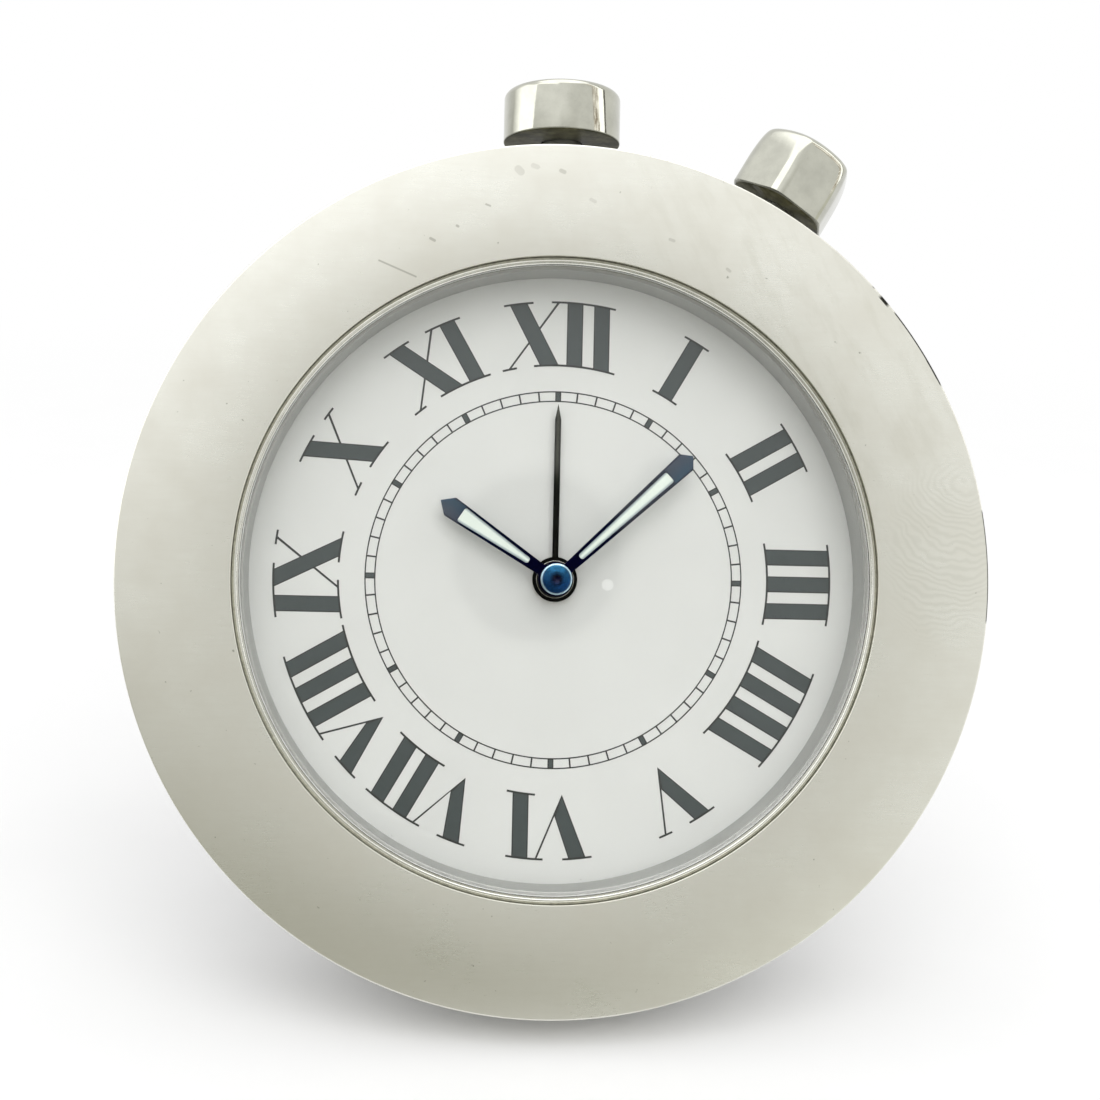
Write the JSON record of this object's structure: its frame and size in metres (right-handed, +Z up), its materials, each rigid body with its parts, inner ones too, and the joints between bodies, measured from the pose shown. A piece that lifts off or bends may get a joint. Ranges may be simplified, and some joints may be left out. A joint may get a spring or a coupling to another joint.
{
  "type": "travel alarm clock",
  "caption": "Round steel travel alarm clock with Roman numeral dial, blued sword hands, top push button, hexagonal crown and fold-out leg.",
  "frame": {"origin": "on the surface that the clock stands on, under the middle of its bounding box", "axes": "+Z up, +X to the reader's right, +Y away from the reader; the dial leans back by 18 degrees"},
  "size_m": [0.064, 0.0374, 0.0679],
  "materials": {
    "alarm_black": "satin black",
    "bezel_steel": "satin polished",
    "blued_steel": "polished blued steel",
    "board_green": "green solder mask",
    "brass": "machined",
    "brushed_steel": "brushed",
    "cap_blue": "polished blue",
    "cell_steel": "nickel plated cell can",
    "copper_wire": "enamelled copper winding",
    "dial_white": "matt",
    "flange_grey": "satin",
    "glass_clear": "clear",
    "holder_plastic": "off-white",
    "lume": "luminous paint",
    "nickel": "nickel plated",
    "polished_steel": "polished",
    "seal_black": "matt black"
  },
  "bodies": {
    "clock": {"bezel": "bezel_steel", "case_middle": "brushed_steel", "crystal": "glass_clear", "crystal_retaining_ring": "polished_steel", "crystal_gasket": "seal_black", "dial_flange_ring": "flange_grey", "dial": "dial_white", "back_cover": "brushed_steel", "back_screw_1": "nickel", "back_screw_2": "nickel", "back_screw_3": "nickel", "back_screw_4": "nickel", "back_gasket": "seal_black", "battery_hatch": "brushed_steel", "hatch_gasket": "seal_black", "battery_contact_plus": "nickel", "hinge_pin": "polished_steel", "battery": "cell_steel", "battery_contact_minus": "nickel", "battery_cup": "holder_plastic", "movement_holder": "holder_plastic", "main_plate": "nickel", "plate_screw_1": "nickel", "plate_screw_2": "nickel", "movement_spacer": "holder_plastic", "train_bridge": "nickel", "bridge_screw_1": "nickel", "bridge_screw_2": "nickel", "circuit_board": "board_green", "piezo_buzzer": "brass", "drive_coil": "copper_wire", "stator": "nickel", "stepping_motor_block": "seal_black", "alarm_contact_blade": "brass", "button_tube": "brushed_steel", "button_contact": "brass", "button_spring": "polished_steel", "crown_tube": "brushed_steel"},
    "stand": {"stand_leg": "brushed_steel"},
    "minute": {"cannon_pinion": "brass", "centre_wheel": "brass", "minute_hand": "blued_steel", "minute_hand_lume": "lume", "hand_cap": "cap_blue"},
    "hour": {"hour_wheel": "brass", "hour_hand": "blued_steel", "hour_hand_lume": "lume"},
    "alarm": {"alarm_wheel": "brass", "alarm_hand": "alarm_black"},
    "minute_work": {"minute_wheel": "brass"},
    "setting_work": {"setting_wheel": "brass"},
    "crown_slide": {"setting_yoke": "nickel"},
    "crown_turn": {"crown": "polished_steel", "crown_stem": "nickel", "crown_gasket": "seal_black", "sliding_pinion": "nickel"},
    "button": {"push_button_cap": "polished_steel", "push_button_stem": "nickel", "button_clip": "nickel"}
  },
  "joints": [
    {"name": "stand_fold", "type": "hinge", "parent": "clock", "child": "stand", "pos_m": [0, -0.00205, 0.01278], "axis": [1, 0, 0], "range_deg": [0, 105.22]},
    {"name": "minute_hand_turn", "type": "hinge", "parent": "clock", "child": "minute", "pos_m": [0, -0.00421, 0.03136], "axis": [0, 0.9511, -0.309], "continuous": true},
    {"name": "hour_hand_turn", "type": "hinge", "parent": "clock", "child": "hour", "pos_m": [0, -0.00421, 0.03136], "axis": [0, 0.9511, -0.309], "continuous": true},
    {"name": "alarm_hand_turn", "type": "hinge", "parent": "clock", "child": "alarm", "pos_m": [0, -0.00421, 0.03136], "axis": [0, 0.9511, -0.309], "continuous": true},
    {"name": "minute_wheel_turn", "type": "hinge", "parent": "clock", "child": "minute_work", "pos_m": [0.00145, -0.0019, 0.03325], "axis": [0, 0.9511, -0.309], "continuous": true},
    {"name": "setting_wheel_turn", "type": "hinge", "parent": "clock", "child": "setting_work", "pos_m": [0.00326, -0.00093, 0.03624], "axis": [0, 0.9511, -0.309], "continuous": true},
    {"name": "crown_pull", "type": "slide", "parent": "clock", "child": "crown_slide", "axis": [0.5, 0.2676, 0.8236], "range_m": [0, 0.0018]},
    {"name": "crown_turn", "type": "hinge", "parent": "crown_slide", "child": "crown_turn", "pos_m": [0, -0.00231, 0.03074], "axis": [0.5, 0.2676, 0.8236], "continuous": true},
    {"name": "button_press", "type": "slide", "parent": "clock", "child": "button", "axis": [0, -0.309, -0.9511], "range_m": [0, 0.0015], "stiffness_N_per_m": 300, "springref_m": -0.002, "deforming": ["button_spring"]}
  ],
  "couplings": [
    {"joint": "hour_hand_turn", "follows": "minute_hand_turn", "ratio": 0.083333},
    {"joint": "minute_wheel_turn", "follows": "minute_hand_turn", "ratio": -0.33333},
    {"joint": "setting_wheel_turn", "follows": "minute_hand_turn", "ratio": 0.5}
  ]
}
